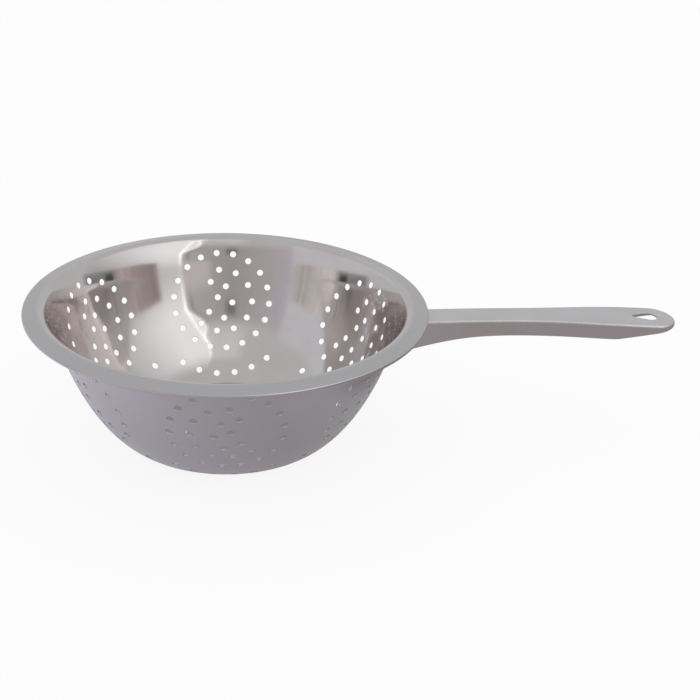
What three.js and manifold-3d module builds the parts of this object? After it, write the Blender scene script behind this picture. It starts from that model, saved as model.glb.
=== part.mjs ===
// A long-handled steel strainer: a perforated bowl with a flanged and rolled rim, and a pressed
// channel handle whose two root ears are spot welded to the bowl's wall under the rim.
// Millimetres, +Z up. The origin is the centre of the base's underside. The handle runs along +X.

import * as THREE from "three";
import { mergeVertices } from "three/addons/utils/BufferGeometryUtils.js";
import Module from "manifold-3d";

const wasm = await Module();
wasm.setup();
const DEGREE = Math.PI / 180;

// Bowl, measured on the outside of its sheet
const BOWL_SHEET = 0.6;
const BASE_RADIUS = 54.8; // flat part that it stands on
const BASE_SWEEP = 12.7; // pull of the curve where it leaves the base
const WALL_SWEEP = 44; // pull of the curve where it reaches the mouth
const WALL_LEAN = 16 * DEGREE; // outward from upright, under the mouth
const MOUTH_HEIGHT = 17.3; // from the top of the wall to the rim, with a wide bend outwards
const MOUTH_LEAN = 28.3 * DEGREE; // outward from upright, where the wide bend passes into the lip
const LIP_RADIUS = 4.5; // tighter bend into the flange, on the inside
const RIM_OVERHANG = 19.4; // from the top of the wall to the rim's edge
const RIM_RADIUS = 120;
const RIM_HEIGHT = 83.8; // top of the rolled edge
const FLANGE_FALL = 12 * DEGREE; // the flange falls outwards from the lip to the rolled edge
const BEAD_RADIUS = 1.3; // rolled edge of the flange
const BEAD_TURN = 250 * DEGREE;

// Drain holes of the wall: one rosette of arcs, punched six times
const HOLE_DIAMETER = 4;
const ROSETTE_AZIMUTHS = [26.4, 92.2, 151.8, 210.8, 269.3, 328]; // degrees round from the handle
const ROSETTE_HEIGHT = 45.4; // centre of a rosette on the outside of the wall
const ROSETTE_REACH = 30; // travel of the punch into the bowl from that centre
// Arcs as seen from inside the bowl, y up the wall: centre, radius, first angle, step, number of holes
const ROSETTE_ARCS = [
  { x: 0, y: 0, radius: 31.7, first: -5 * DEGREE, step: 20 * DEGREE, count: 18 },
  { x: 0, y: 0, radius: 20.5, first: 93.7 * DEGREE, step: -32.2 * DEGREE, count: 8 },
  { x: -6.5, y: -0.6, radius: 13.8, first: 46 * DEGREE, step: -50 * DEGREE, count: 3 },
  { x: -14.6, y: 2.9, radius: 12.2, first: 51.5 * DEGREE, step: -55.5 * DEGREE, count: 3 },
  { x: 0, y: 0, radius: 48.5, first: -53 * DEGREE, step: -14 * DEGREE, count: 6 },
];

// Drain holes of the base: rings about its centre
const BASE_RINGS = [
  { radius: 14, count: 6 },
  { radius: 28, count: 12 },
];

// Handle: a channel pressed from thicker sheet, open underneath
const HANDLE_SHEET = 1.2;
const HANDLE_DROP = 7.72; // from the rim's top to the level that the handle's arch rises from
const HANDLE_REACH = 275.5; // from the bowl's axis to the tip
const ARCH_RISE = 1.22; // the top face is a shallow arch
const ARCH_HALF_SPAN = 65;
const ARCH_FROM_RIM = 60; // place of its crest
const ROOT_HALF_WIDTH = 10.2;
const WAIST_HALF_WIDTH = 9.6;
const WAIST_FROM_RIM = 45;
const TIP_RADIUS = 14.2;
const EDGE_RADIUS = 2; // rounding between the top face and the walls
const GRIP_DEPTH = 10.3; // side walls along the grip, from the arch down
const ROOT_DEPTH = 24; // side walls at the bowl
const FLARE_FROM_RIM = 62; // where the side walls start to deepen
const TIP_DEPTH = 2.5;
const TAPER_START = 39; // back from the tip, where the walls start to get lower

// Hanging hole: a teardrop with its narrow end towards the bowl
const HANG_RADIUS = 5.4;
const HANG_NARROW_RADIUS = 2.4;
const HANG_LENGTH = 8.4; // between the centres of its two ends
const HANG_FROM_TIP = 16.3;

// Root ears and their spot welds
const EAR_HALF_SPAN = 16.5;
const EAR_HEIGHT = 14.5;
const EAR_BELOW_TOP = 2.9; // from the foot of the arch to the ears' upper edge
const EAR_CORNER = 3;
const WELD_DIAMETER = 4.2;
const WELD_OFFSET = 13.2; // sideways from the handle's middle
const CLEARANCE = 0.3; // between pieces that touch

// Facets
const LATHE_SEGMENTS = 40;
const WALL_STEPS = 7;
const MOUTH_STEPS = 2;
const LIP_STEPS = 3;
const BEAD_STEPS = 5;
const HOLE_SIDES = 6;
const WELD_SIDES = 12;
const OUTLINE_STEPS = 8;
const FLARE_STEPS = 8;
const GRIP_STEPS = 5;
const EDGE_STEPS = 3;
const PUNCH_TAPER_LENGTH = 600;
const MERGE_DISTANCE = 1e-3;
const SPARE = 5; // how far cutting shapes run past what they cut

// Closed solid of a geometry whose seams are merged
function solidOf(geometry) {
  const bare = new THREE.BufferGeometry();
  bare.setAttribute("position", geometry.getAttribute("position"));
  bare.setIndex(geometry.index);
  const merged = mergeVertices(bare, MERGE_DISTANCE);
  const triangles = [];
  for (let i = 0; i < merged.index.count; i += 3) {
    const corners = [0, 1, 2].map((j) => merged.index.getX(i + j));
    if (new Set(corners).size === 3) triangles.push(...corners);
  }
  const mesh = new wasm.Mesh({
    numProp: 3,
    vertProperties: Float32Array.from(merged.getAttribute("position").array),
    triVerts: Uint32Array.from(triangles),
  });
  return new wasm.Manifold(mesh);
}

// Named mesh of a finished solid
function meshOf(name, solid, material) {
  const result = solid.getMesh();
  const geometry = new THREE.BufferGeometry();
  geometry.setAttribute("position", new THREE.BufferAttribute(result.vertProperties, 3));
  geometry.setIndex(new THREE.BufferAttribute(result.triVerts, 1));
  geometry.computeVertexNormals();
  const mesh = new THREE.Mesh(geometry, material);
  mesh.name = name;
  return mesh;
}

// Solid of revolution about +Z from points (radius, height)
function turned(points) {
  return solidOf(new THREE.LatheGeometry(points, LATHE_SEGMENTS).rotateX(Math.PI / 2));
}

// Radius whose regular polygon has the area of the round hole
function facetedRadius(radius, sides) {
  return radius * Math.sqrt((2 * Math.PI) / sides / Math.sin((2 * Math.PI) / sides));
}

// Wall curve, from the edge of the flat base up to the mouth, on the outside of the sheet
const lipOutside = LIP_RADIUS - BOWL_SHEET;
const wallTopHeight = RIM_HEIGHT - MOUTH_HEIGHT;
const wallTopRadius = RIM_RADIUS - RIM_OVERHANG;
const wallTop = new THREE.Vector2(wallTopRadius, wallTopHeight);
const wallUp = new THREE.Vector2(Math.sin(WALL_LEAN), Math.cos(WALL_LEAN));
const baseEdge = new THREE.Vector2(BASE_RADIUS, 0);
const wallCurve = new THREE.CubicBezierCurve(
  baseEdge,
  new THREE.Vector2(BASE_RADIUS + BASE_SWEEP, 0),
  wallTop.clone().addScaledVector(wallUp, -WALL_SWEEP),
  wallTop,
);

// Flange: its line touches the rolled edge and the lip
const beadInside = BEAD_RADIUS - BOWL_SHEET;
const beadCentre = new THREE.Vector2(RIM_RADIUS - BEAD_RADIUS, RIM_HEIGHT - BEAD_RADIUS);
const flangeTurn = Math.PI / 2 - FLANGE_FALL;
const flangeUp = new THREE.Vector2(Math.cos(flangeTurn), Math.sin(flangeTurn));
const flangeIn = new THREE.Vector2(-flangeUp.y, flangeUp.x);

// Mouth and lip: a wide bend and a tighter one after it. The width of the flange and the radius of the wide
// bend are those with which the wide bend, from the top of the wall, ends where the lip begins.
const mouthStart = new THREE.Vector2(Math.cos(WALL_LEAN), -Math.sin(WALL_LEAN));
const mouthEnd = new THREE.Vector2(Math.cos(MOUTH_LEAN), -Math.sin(MOUTH_LEAN));
const mouthWay = mouthStart.clone().sub(mouthEnd);
const lipOnBead = beadCentre.clone().addScaledVector(flangeUp, beadInside - lipOutside);
const gap = wallTop.clone().sub(lipOnBead).addScaledVector(mouthEnd, lipOutside);
const flangeWidth = gap.cross(mouthWay) / flangeIn.cross(mouthWay);
const mouthRadius = gap.cross(flangeIn) / flangeIn.cross(mouthWay);
const mouthCentre = wallTop.clone().addScaledVector(mouthStart, mouthRadius);
const lipCentre = lipOnBead.clone().addScaledVector(flangeIn, flangeWidth);
const mouthCurve = arc(mouthCentre, mouthRadius, Math.PI - WALL_LEAN, Math.PI - MOUTH_LEAN);
const lipCurve = arc(lipCentre, lipOutside, Math.PI - MOUTH_LEAN, flangeTurn);
const wallAndMouth = [
  [wallCurve, WALL_STEPS],
  [mouthCurve, MOUTH_STEPS],
];

// Path of the sheet's outside, from the base to the rolled edge. Each curve has its number of steps.
function sheetPath() {
  return [
    [new THREE.LineCurve(new THREE.Vector2(0, 0), baseEdge), 1],
    ...wallAndMouth,
    [lipCurve, LIP_STEPS],
    [
      new THREE.LineCurve(
        lipCentre.clone().addScaledVector(flangeUp, lipOutside),
        beadCentre.clone().addScaledVector(flangeUp, beadInside),
      ),
      1,
    ],
    [arc(beadCentre, beadInside, flangeTurn, flangeTurn - BEAD_TURN), BEAD_STEPS],
  ];
}

// Clockwise arc
function arc(centre, radius, from, to) {
  return new THREE.EllipseCurve(centre.x, centre.y, radius, radius, from, to, true);
}

// Points of a chain of curves, moved sideways, into the bowl where the offset is positive
function offsetPoints(chain, offset) {
  const points = [];
  chain.forEach(([curve, steps], place) => {
    for (let i = place ? 1 : 0; i <= steps; i++) {
      const along = curve.getTangent(i / steps);
      const left = new THREE.Vector2(-along.y, along.x);
      points.push(curve.getPoint(i / steps).addScaledVector(left, offset));
    }
  });
  return points;
}

// Point and direction of the outside wall at a height, found by halving the curve
function wallAt(height) {
  let low = 0;
  let high = 1;
  while (high - low > 1e-7) {
    const middle = (low + high) / 2;
    if (wallCurve.getPoint(middle).y < height) low = middle;
    else high = middle;
  }
  return { point: wallCurve.getPoint(low), along: wallCurve.getTangent(low) };
}

// Frame on the outside wall: x sideways as seen from inside the bowl, y up the wall, z into the bowl
function wallFrame(azimuth, height) {
  const { point, along } = wallAt(height);
  const outward = new THREE.Vector3(Math.cos(azimuth), Math.sin(azimuth), 0);
  const x = new THREE.Vector3(Math.sin(azimuth), -Math.cos(azimuth), 0);
  const y = outward.clone().multiplyScalar(along.x).setZ(along.y);
  const z = new THREE.Vector3().crossVectors(x, y);
  const origin = outward.multiplyScalar(point.x).setZ(point.y);
  return new THREE.Matrix4().makeBasis(x, y, z).setPosition(origin);
}

// Punch along a frame's z, standing at (x, y) in that frame. It tapers slowly to a point far outside
// the bowl, so that each of its sides is one facet, and has its full diameter at the frame's origin.
function punch(diameter, reach, sides, x, y, frame) {
  const radius = facetedRadius(diameter / 2, sides) * (1 + reach / PUNCH_TAPER_LENGTH);
  const geometry = new THREE.ConeGeometry(radius, reach + PUNCH_TAPER_LENGTH, sides);
  geometry.rotateX(-Math.PI / 2).translate(x, y, (reach - PUNCH_TAPER_LENGTH) / 2);
  return solidOf(geometry.applyMatrix4(frame));
}

// Prism of a shape drawn in x and y, from one height up to another
function standingPrism(shape, bottom, top) {
  const geometry = new THREE.ExtrudeGeometry(shape, {
    depth: top - bottom,
    curveSegments: OUTLINE_STEPS,
    bevelEnabled: false,
  });
  return solidOf(geometry.translate(0, 0, bottom));
}

// Bowl: the turned sheet with its wall and base punched
function bowl() {
  const chain = sheetPath();
  const outside = offsetPoints(chain, 0);
  const inside = offsetPoints(chain, BOWL_SHEET);
  const sheet = turned([...outside, ...inside.reverse()]);
  const level = new THREE.Matrix4();
  const cuts = [];
  for (const azimuth of ROSETTE_AZIMUTHS) {
    const frame = wallFrame(azimuth * DEGREE, ROSETTE_HEIGHT);
    for (const { x, y, radius, first, step, count } of ROSETTE_ARCS) {
      for (let i = 0; i < count; i++) {
        const holeX = x + radius * Math.cos(first + i * step);
        const holeY = y + radius * Math.sin(first + i * step);
        cuts.push(punch(HOLE_DIAMETER, ROSETTE_REACH, HOLE_SIDES, holeX, holeY, frame));
      }
    }
  }
  for (const { radius, count } of BASE_RINGS) {
    for (let i = 0; i < count; i++) {
      const turn = ((i + 0.5) / count) * 2 * Math.PI;
      const holeX = radius * Math.cos(turn);
      const holeY = radius * Math.sin(turn);
      cuts.push(punch(HOLE_DIAMETER, SPARE, HOLE_SIDES, holeX, holeY, level));
    }
  }
  return sheet.subtract(wasm.Manifold.union(cuts));
}

// Handle outline from above, drawn in by an inset for the inner face of its sheet
const handleTop = RIM_HEIGHT - HANDLE_DROP;
function planOutline(inset) {
  const root = ROOT_HALF_WIDTH - inset;
  const waist = WAIST_HALF_WIDTH - inset;
  const tip = TIP_RADIUS - inset;
  const rootX = BASE_RADIUS;
  const waistX = RIM_RADIUS + WAIST_FROM_RIM;
  const tipX = HANDLE_REACH - TIP_RADIUS;
  const firstX = (rootX + waistX) / 2;
  const secondX = (waistX + tipX) / 2;
  const shape = new THREE.Shape();
  shape.moveTo(rootX, -root);
  shape.bezierCurveTo(firstX, -root, firstX, -waist, waistX, -waist);
  shape.bezierCurveTo(secondX, -waist, secondX, -tip, tipX, -tip);
  shape.absarc(tipX, 0, tip, -Math.PI / 2, Math.PI / 2, false);
  shape.bezierCurveTo(secondX, tip, secondX, waist, waistX, waist);
  shape.bezierCurveTo(firstX, waist, firstX, root, rootX, root);
  shape.closePath();
  return shape;
}

// Height of the handle's top face
function archAt(x) {
  const share = (x - RIM_RADIUS - ARCH_FROM_RIM) / ARCH_HALF_SPAN;
  return handleTop + ARCH_RISE * (1 - share * share);
}

// Block with the handle's outline and a rounded, arched top. Each ring of points is the outline, drawn
// in and lowered from the arch. Both caps are ladders between the two sides of the handle.
function pressedBlock(inset, depth, rounding) {
  const rings = [[inset, depth]];
  for (let i = 0; i <= EDGE_STEPS; i++) {
    const turn = ((i / EDGE_STEPS) * Math.PI) / 2;
    rings.push([inset + rounding * (1 - Math.cos(turn)), rounding * (1 - Math.sin(turn)) + inset]);
  }
  const positions = [];
  for (const [drawnIn, lowered] of rings) {
    for (const { x, y } of planOutline(drawnIn).getPoints(OUTLINE_STEPS)) {
      positions.push(x, y, archAt(x) - lowered);
    }
  }
  const size = positions.length / 3 / rings.length;
  const last = size * (rings.length - 1);
  const triangles = [];
  for (let i = 0; i < last; i++) {
    const next = i % size === size - 1 ? i + 1 - size : i + 1;
    triangles.push(i, next, next + size, i, next + size, i + size);
  }
  for (let i = 0; 2 * i < size - 2; i++) {
    const far = size - 1 - i;
    triangles.push(i, far, far - 1, i, far - 1, i + 1);
    triangles.push(last + i, last + far - 1, last + far, last + i, last + i + 1, last + far - 1);
  }
  const block = new THREE.BufferGeometry();
  block.setAttribute("position", new THREE.Float32BufferAttribute(positions, 3));
  block.setIndex(triangles);
  return solidOf(block);
}

// Height of a side wall's lower edge: it follows the arch, with a flare at the root and a taper at the tip
function lowerEdgeAt(x) {
  const flareX = RIM_RADIUS + FLARE_FROM_RIM;
  const flare = Math.max(0, (flareX - x) / (flareX - wallTopRadius)) ** 3;
  const taper = Math.max(0, (x - HANDLE_REACH) / TAPER_START + 1);
  const depth = GRIP_DEPTH + (ROOT_DEPTH - GRIP_DEPTH) * flare - (GRIP_DEPTH - TIP_DEPTH) * taper;
  return archAt(x) - depth;
}

// Handle outline from the side: the lower edges of its walls
function sideOutline() {
  const flareX = RIM_RADIUS + FLARE_FROM_RIM;
  const taperX = HANDLE_REACH - TAPER_START;
  const shape = new THREE.Shape();
  shape.moveTo(0, handleTop + SPARE);
  shape.lineTo(0, lowerEdgeAt(wallTopRadius));
  for (let i = 0; i < FLARE_STEPS; i++) {
    const x = wallTopRadius + ((flareX - wallTopRadius) * i) / FLARE_STEPS;
    shape.lineTo(x, lowerEdgeAt(x));
  }
  for (let i = 0; i <= GRIP_STEPS; i++) {
    const x = flareX + ((taperX - flareX) * i) / GRIP_STEPS;
    shape.lineTo(x, lowerEdgeAt(x));
  }
  shape.lineTo(HANDLE_REACH, lowerEdgeAt(HANDLE_REACH));
  shape.lineTo(HANDLE_REACH + SPARE, lowerEdgeAt(HANDLE_REACH));
  shape.lineTo(HANDLE_REACH + SPARE, handleTop + SPARE);
  shape.closePath();
  return shape;
}

// Teardrop outline of the hanging hole
function hangOutline() {
  const x = HANDLE_REACH - HANG_FROM_TIP;
  const swing = Math.PI - Math.acos((HANG_RADIUS - HANG_NARROW_RADIUS) / HANG_LENGTH);
  const shape = new THREE.Shape();
  shape.absarc(x, 0, HANG_RADIUS, -swing, swing, false);
  shape.absarc(x - HANG_LENGTH, 0, HANG_NARROW_RADIUS, swing, 2 * Math.PI - swing, false);
  shape.closePath();
  return shape;
}

// Outline of both ears, seen along the handle, with rounded corners
function earOutline() {
  const side = EAR_HALF_SPAN - EAR_CORNER;
  const top = handleTop - EAR_BELOW_TOP - EAR_CORNER;
  const bottom = handleTop - EAR_BELOW_TOP - EAR_HEIGHT + EAR_CORNER;
  const shape = new THREE.Shape();
  shape.absarc(side, top, EAR_CORNER, 0, Math.PI / 2, false);
  shape.absarc(-side, top, EAR_CORNER, Math.PI / 2, Math.PI, false);
  shape.absarc(-side, bottom, EAR_CORNER, Math.PI, 1.5 * Math.PI, false);
  shape.absarc(side, bottom, EAR_CORNER, 1.5 * Math.PI, 2 * Math.PI, false);
  shape.closePath();
  return shape;
}

// Plate that lies on the wall, one clearance away, cut to the outline of the ears
function earPlate() {
  const near = offsetPoints(wallAndMouth, -CLEARANCE);
  const far = offsetPoints(wallAndMouth, -CLEARANCE - HANDLE_SHEET);
  const plate = turned([...far, ...near.reverse(), far[0].clone()]);
  const prism = new THREE.ExtrudeGeometry(earOutline(), {
    depth: RIM_RADIUS,
    curveSegments: OUTLINE_STEPS,
    bevelEnabled: false,
  });
  const turn = new THREE.Matrix4().makeBasis(
    new THREE.Vector3(0, 1, 0),
    new THREE.Vector3(0, 0, 1),
    new THREE.Vector3(1, 0, 0),
  );
  return plate.intersect(solidOf(prism.applyMatrix4(turn)));
}

// Frame of the spot weld on one side of the handle, side being 1 or -1
function weldFrame(side) {
  const height = handleTop - EAR_BELOW_TOP - EAR_HEIGHT / 2;
  const azimuth = Math.asin(WELD_OFFSET / wallAt(height).point.x);
  return wallFrame(side * azimuth, height);
}

// Handle: the channel, fitted round the bowl, with its ears
function handle() {
  const outer = pressedBlock(0, ROOT_DEPTH + SPARE, EDGE_RADIUS);
  const hollow = pressedBlock(HANDLE_SHEET, ROOT_DEPTH + 2 * SPARE, EDGE_RADIUS - HANDLE_SHEET);
  const seenFromSide = new THREE.ExtrudeGeometry(sideOutline(), {
    depth: 2 * RIM_RADIUS,
    curveSegments: OUTLINE_STEPS,
    bevelEnabled: false,
  });
  seenFromSide.rotateX(Math.PI / 2).translate(0, RIM_RADIUS, 0);
  const clear = offsetPoints(wallAndMouth, -CLEARANCE);
  const bowlRoom = turned([
    new THREE.Vector2(0, clear[0].y),
    ...clear,
    new THREE.Vector2(0, clear.at(-1).y),
  ]);
  const hang = standingPrism(hangOutline(), handleTop - HANDLE_SHEET - SPARE, handleTop + SPARE);
  let piece = outer.intersect(solidOf(seenFromSide)).subtract(bowlRoom);
  piece = piece.add(earPlate()).subtract(hollow).subtract(hang);
  for (const side of [1, -1]) {
    const roomDiameter = WELD_DIAMETER + 2 * CLEARANCE;
    piece = piece.subtract(punch(roomDiameter, SPARE, WELD_SIDES, 0, 0, weldFrame(side)));
  }
  return piece;
}

// Spot weld: a plug of the plate's own thickness
function weld(side) {
  return earPlate().intersect(punch(WELD_DIAMETER, SPARE, WELD_SIDES, 0, 0, weldFrame(side)));
}

const polished = new THREE.MeshStandardMaterial({ color: 0xb4b0ae, roughness: 0.18, metalness: 1 });
const satin = new THREE.MeshStandardMaterial({ color: 0xb2b1b4, roughness: 0.32, metalness: 1 });
const weldMetal = new THREE.MeshStandardMaterial({ color: 0x9a9490, roughness: 0.45, metalness: 1 });

const strainer = new THREE.Group();
strainer.name = "strainer";
strainer.add(meshOf("bowl", bowl(), polished));
strainer.add(meshOf("handle", handle(), satin));
strainer.add(meshOf("weld_left", weld(1), weldMetal));
strainer.add(meshOf("weld_right", weld(-1), weldMetal));

export default strainer;
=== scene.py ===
# %% [markdown]
# A long-handled steel strainer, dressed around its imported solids.
# The frame comes first. It holds every solid at its real size and place, in metres, with +Z up and the
# handle along +X, so that each finer surface made below can go straight to where its solid is.

import bpy
import numpy as np
from mathutils import Matrix, Vector
from mathutils.geometry import delaunay_2d_cdt


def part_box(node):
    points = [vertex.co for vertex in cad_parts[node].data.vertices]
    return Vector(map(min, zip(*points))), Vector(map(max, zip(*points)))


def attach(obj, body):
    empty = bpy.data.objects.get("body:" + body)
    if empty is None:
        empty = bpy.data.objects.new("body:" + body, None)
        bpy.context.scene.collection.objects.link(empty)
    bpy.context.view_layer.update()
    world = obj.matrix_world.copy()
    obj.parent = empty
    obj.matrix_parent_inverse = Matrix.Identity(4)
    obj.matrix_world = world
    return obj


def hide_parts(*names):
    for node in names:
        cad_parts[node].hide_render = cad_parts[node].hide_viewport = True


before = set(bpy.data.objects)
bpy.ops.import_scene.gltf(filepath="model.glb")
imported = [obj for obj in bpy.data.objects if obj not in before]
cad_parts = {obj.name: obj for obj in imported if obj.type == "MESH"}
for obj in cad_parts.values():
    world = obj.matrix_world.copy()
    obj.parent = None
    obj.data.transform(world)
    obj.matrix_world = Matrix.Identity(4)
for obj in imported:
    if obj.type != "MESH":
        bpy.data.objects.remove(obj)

MM = 0.001
DEGREE = np.pi / 180
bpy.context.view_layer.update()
print("nodes:", sorted(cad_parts))

# %% [markdown]
# The camera stands where it stood for the photograph: above the front of the bowl, turned a little to the
# left of the handle's square, and tilted a little about its own line of sight. Its place was found from the
# rim's ellipse and the rows of holes. A rotation matrix with the camera's right, up and backward directions
# as columns is the plainest way to say all of that at once.

# %% Camera
CAMERA_PLACE = np.array([-4.93, -736.52, 403.54])
CAMERA_FORWARD = np.array([0.0970, 0.8985, -0.4281])
CAMERA_ROLL = 0.0445
CAMERA_LENS = 68.86
CAMERA_SENSOR = 36


def unit(vectors):
    """Each vector divided by its own length."""
    vectors = np.asarray(vectors, float)
    return vectors / np.linalg.norm(vectors, axis=-1, keepdims=True)


forward = unit(CAMERA_FORWARD)
level_right = unit(np.cross(forward, (0, 0, 1)))
level_up = np.cross(level_right, forward)
right = level_right * np.cos(CAMERA_ROLL) + level_up * np.sin(CAMERA_ROLL)
up = level_up * np.cos(CAMERA_ROLL) - level_right * np.sin(CAMERA_ROLL)
camera_data = bpy.data.cameras.new("photo_camera")
camera_data.lens = CAMERA_LENS
camera_data.sensor_width = CAMERA_SENSOR
camera = bpy.data.objects.new("photo_camera", camera_data)
bpy.context.scene.collection.objects.link(camera)
turn = Matrix(np.column_stack([right, up, -forward]).tolist()).to_4x4()
camera.matrix_world = Matrix.Translation(Vector(CAMERA_PLACE * MM)) @ turn
bpy.context.scene.camera = camera
print("camera at, mm:", CAMERA_PLACE)

# %% [markdown]
# The bowl is one sheet of steel, drawn and rolled. All of it is one curve turned about the axis: the flat
# base, the wall, the wide bend of the mouth, the tight bend of the lip, the flange, which falls a little
# outwards, and the rolled edge. Blender could spin a drawn profile, but then the holes would have to be cut
# out of coarse faces. Here the curve is sampled closely, with the length along it and the direction across
# the sheet, so that any point of the sheet can be asked for.

# %% Profile of the bowl's sheet, in millimetres
RIM_RADIUS = 120
RIM_HEIGHT = 83.8
FLANGE_FALL = 12 * DEGREE
BOWL_SHEET = 0.6
BASE_RADIUS = 54.8
BASE_SWEEP = 12.7
WALL_SWEEP = 44
WALL_LEAN = 16 * DEGREE
MOUTH_HEIGHT = 17.3
MOUTH_LEAN = 28.3 * DEGREE
LIP_RADIUS = 4.5
RIM_OVERHANG = 19.4
BEAD_RADIUS = 1.3
BEAD_TURN = 250 * DEGREE
FINE_STEPS = 400


def bezier(corners, share):
    """Cubic Bezier curve: the four corners weighted by the terms of (1 - t + t) cubed."""
    t = np.asarray(share)[:, None]
    a, b, c, d = np.asarray(corners, float)
    return a * (1 - t) ** 3 + 3 * b * t * (1 - t) ** 2 + 3 * c * t * t * (1 - t) + d * t**3


def around(angle):
    """The directions at some angles: their cosines and sines."""
    return np.stack([np.cos(angle), np.sin(angle)], axis=-1)


def arc(centre, radius, first, last):
    """Points on a circle from one angle to another."""
    return centre + radius * around(np.linspace(first, last, FINE_STEPS))


def lengths_along(points):
    """The length along a line of points from the first of them to each: the sum of the steps so far."""
    return np.concatenate([[0], np.cumsum(np.linalg.norm(np.diff(points, axis=0), axis=1))])


def wall_out(lean):
    """Direction out of the bowl, square to a wall that leans outward from upright."""
    return np.array([np.cos(lean), -np.sin(lean)])


lip_outside = LIP_RADIUS - BOWL_SHEET
bead_inside = BEAD_RADIUS - BOWL_SHEET
bead_centre = np.array([RIM_RADIUS - BEAD_RADIUS, RIM_HEIGHT - BEAD_RADIUS])
flange_turn = np.pi / 2 - FLANGE_FALL
flange_up = around(flange_turn)
flange_in = np.array([-flange_up[1], flange_up[0]])
wall_top = np.array([RIM_RADIUS - RIM_OVERHANG, RIM_HEIGHT - MOUTH_HEIGHT])
wall_up = np.array([np.sin(WALL_LEAN), np.cos(WALL_LEAN)])
# The flange's width and the mouth's radius are those with which the mouth ends where the lip begins
mouth_way = wall_out(WALL_LEAN) - wall_out(MOUTH_LEAN)
lip_on_bead = bead_centre + (bead_inside - lip_outside) * flange_up
gap = wall_top - lip_on_bead + lip_outside * wall_out(MOUTH_LEAN)
flange_width, mouth_radius = np.linalg.solve(np.column_stack([flange_in, -mouth_way]), gap)
mouth_centre = wall_top + mouth_radius * wall_out(WALL_LEAN)
lip_centre = lip_on_bead + flange_width * flange_in
flange_ends = np.array([lip_centre + lip_outside * flange_up, bead_centre + bead_inside * flange_up])
shares = np.linspace(0, 1, FINE_STEPS)
wall_corners = [(BASE_RADIUS, 0), (BASE_RADIUS + BASE_SWEEP, 0), wall_top - WALL_SWEEP * wall_up, wall_top]
stretches = [
    np.outer(shares, (BASE_RADIUS, 0)),
    bezier(wall_corners, shares),
    arc(mouth_centre, mouth_radius, np.pi - WALL_LEAN, np.pi - MOUTH_LEAN),
    arc(lip_centre, lip_outside, np.pi - MOUTH_LEAN, flange_turn),
    np.outer(1 - shares, flange_ends[0]) + np.outer(shares, flange_ends[1]),
    arc(bead_centre, bead_inside, flange_turn, flange_turn - BEAD_TURN),
]
path = np.vstack([stretches[0]] + [stretch[1:] for stretch in stretches[1:]])
path_along = lengths_along(path)
path_run = unit(np.gradient(path, path_along, axis=0))
path_across = np.column_stack([-path_run[:, 1], path_run[:, 0]])
stretch_ends = [path_along[(FINE_STEPS - 1) * (i + 1)] for i in range(len(stretches))]
base_end, _, mouth_end, lip_end, flange_end, sheet_end = stretch_ends
print("length along the sheet at the end of each stretch, mm:", np.round(stretch_ends, 1))


# %% Any point of the bowl's sheet
def on_sheet(along, azimuth, depth):
    """The profile's point at that length, moved across the sheet by depth from its outside face and turned
    about the axis by the azimuth. Gives the points and the directions across the sheet."""
    radius, height, out, rise = (
        np.interp(along, path_along, column) for column in (*path.T, *path_across.T)
    )
    radius = radius + depth * out
    height = height + depth * rise
    cosine, sine = np.cos(azimuth), np.sin(azimuth)
    points = np.stack([radius * cosine, radius * sine, height], axis=-1)
    return points, unit(np.stack([out * cosine, out * sine, rise + 0 * azimuth], axis=-1))


print("inside of the lip, mm:", np.round(on_sheet(lip_end, 0.0, BOWL_SHEET)[0], 2))

# %% [markdown]
# The drain holes are punched in six like rosettes. Each rosette is a ring with a spiral of arcs in it and
# a shorter arc below it, and all its holes are cut along one direction, square to the wall at its middle.
# So a hole's edge is found as the tool makes it: a circle in the plane that touches the wall, carried along
# the punch until it meets the sheet.

# %% Layout of the holes
HOLE_RADIUS = 2
ROSETTE_AZIMUTHS = np.array([26.4, 92.2, 151.8, 210.8, 269.3, 328]) * DEGREE
ROSETTE_HEIGHT = 45.4
# Arcs of a rosette: centre x, centre y, radius, first angle, step, number of holes
ROSETTE_ARCS = [
    (0, 0, 31.7, -5, 20, 18),
    (0, 0, 20.5, 93.7, -32.2, 8),
    (-6.5, -0.6, 13.8, 46, -50, 3),
    (-14.6, 2.9, 12.2, 51.5, -55.5, 3),
    (0, 0, 48.5, -53, -14, 6),
]
# Rings of the base: radius, number of holes
BASE_RINGS = [(14, 6), (28, 12)]
PUNCH_START = -12
PUNCH_REACH = 30
HALVINGS = 40
wall = (path_along >= base_end) & (path_along <= mouth_end)
rosette = np.vstack([
    (x, y) + radius * around((first + step * np.arange(count)) * DEGREE)
    for x, y, radius, first, step, count in ROSETTE_ARCS
])
base_holes = np.vstack([
    radius * around((np.arange(count) + 0.5) / count * 2 * np.pi) for radius, count in BASE_RINGS
])
hole_count = len(ROSETTE_AZIMUTHS) * len(rosette) + len(base_holes)
print("holes in a rosette:", len(rosette), " holes in all:", hole_count)


# %% Where a punch meets the sheet
def even_turns(count):
    """So many angles, evenly spread over a full turn."""
    return np.arange(count) / count * 2 * np.pi


def wall_frame(azimuth, height):
    """Origin and directions of a frame on the outside of the wall: sideways, up the wall and inwards."""
    place, run = (
        np.array([np.interp(height, path[wall, 1], column[wall]) for column in columns])
        for columns in (path.T, path_run.T)
    )
    outward = np.stack([np.cos(azimuth), np.sin(azimuth), 0 * azimuth], axis=-1)
    upward = np.array([0, 0, 1])
    sideways = np.stack([np.sin(azimuth), -np.cos(azimuth), 0 * azimuth], axis=-1)
    climbing = unit(run[0] * outward + run[1] * upward)
    return place[0] * outward + place[1] * upward, sideways, climbing, np.cross(sideways, climbing)


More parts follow.
